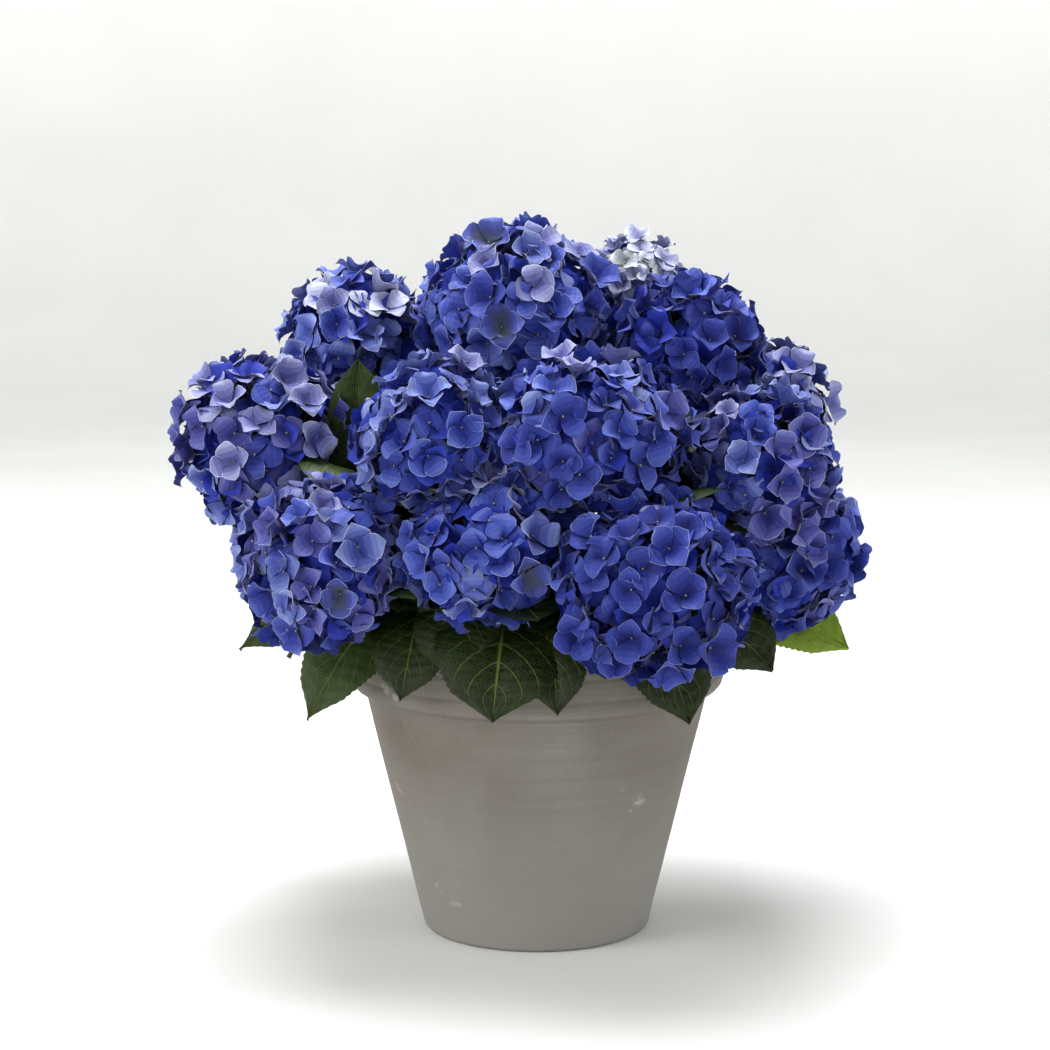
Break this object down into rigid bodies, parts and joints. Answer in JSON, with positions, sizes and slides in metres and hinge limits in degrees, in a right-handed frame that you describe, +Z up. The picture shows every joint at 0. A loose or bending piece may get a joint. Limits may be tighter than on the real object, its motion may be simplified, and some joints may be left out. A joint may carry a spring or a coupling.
{
  "type": "potted hydrangea shrub",
  "caption": "Rounded hydrangea shrub with domed blue mophead flower heads and large leaves, in a tapered clay pot with a rim band.",
  "frame": {"origin": "middle of the pot's flat underside", "axes": "+Z up along the pot's axis; the pictured side of the plant faces -Y"},
  "size_m": [0.5379, 0.5116, 0.5663],
  "materials": {
    "clay": "unglazed warm grey clay, matt and weathered",
    "compost": "damp dark potting compost",
    "bark": "thin brown bark",
    "leaf": "semi-gloss dark green leaf",
    "blossom": "soft blue to violet-blue sepals with paler edges"
  },
  "bodies": {
    "root": {"pot": "clay", "compost": "compost", "root_crown": "bark", "bough_01": "bark", "bough_02": "bark", "bough_03": "bark", "bough_04": "bark", "bough_05": "bark", "bough_06": "bark", "bough_07": "bark", "bough_08": "bark", "bough_09": "bark", "bough_10": "bark", "bough_11": "bark", "bough_12": "bark", "bough_13": "bark", "bough_14": "bark", "bough_15": "bark", "bough_16": "bark", "bough_17": "bark", "bough_18": "bark", "bough_19": "bark", "bough_20": "bark", "leaves_03": "leaf", "leaves_04": "leaf", "leaves_05": "leaf", "leaves_06": "leaf", "leaves_07": "leaf", "leaves_08": "leaf", "leaves_09": "leaf", "leaves_11": "leaf", "leaves_12": "leaf", "leaves_13": "leaf", "leaves_14": "leaf", "leaves_15": "leaf", "leaves_16": "leaf", "leaves_17": "leaf", "leaves_18": "leaf", "leaves_19": "leaf", "leaves_20": "leaf", "flower_head_01": "blossom", "flower_head_02": "blossom", "flower_head_03": "blossom", "flower_head_04": "blossom", "flower_head_05": "blossom", "flower_head_06": "blossom", "flower_head_07": "blossom", "flower_head_08": "blossom", "flower_head_09": "blossom", "flower_head_10": "blossom", "flower_head_11": "blossom", "flower_head_12": "blossom", "flower_head_13": "blossom", "flower_head_14": "blossom", "flower_head_15": "blossom", "flower_head_16": "blossom", "flower_head_17": "blossom", "flower_head_18": "blossom", "flower_head_19": "blossom", "flower_head_20": "blossom"}
  },
  "joints": []
}
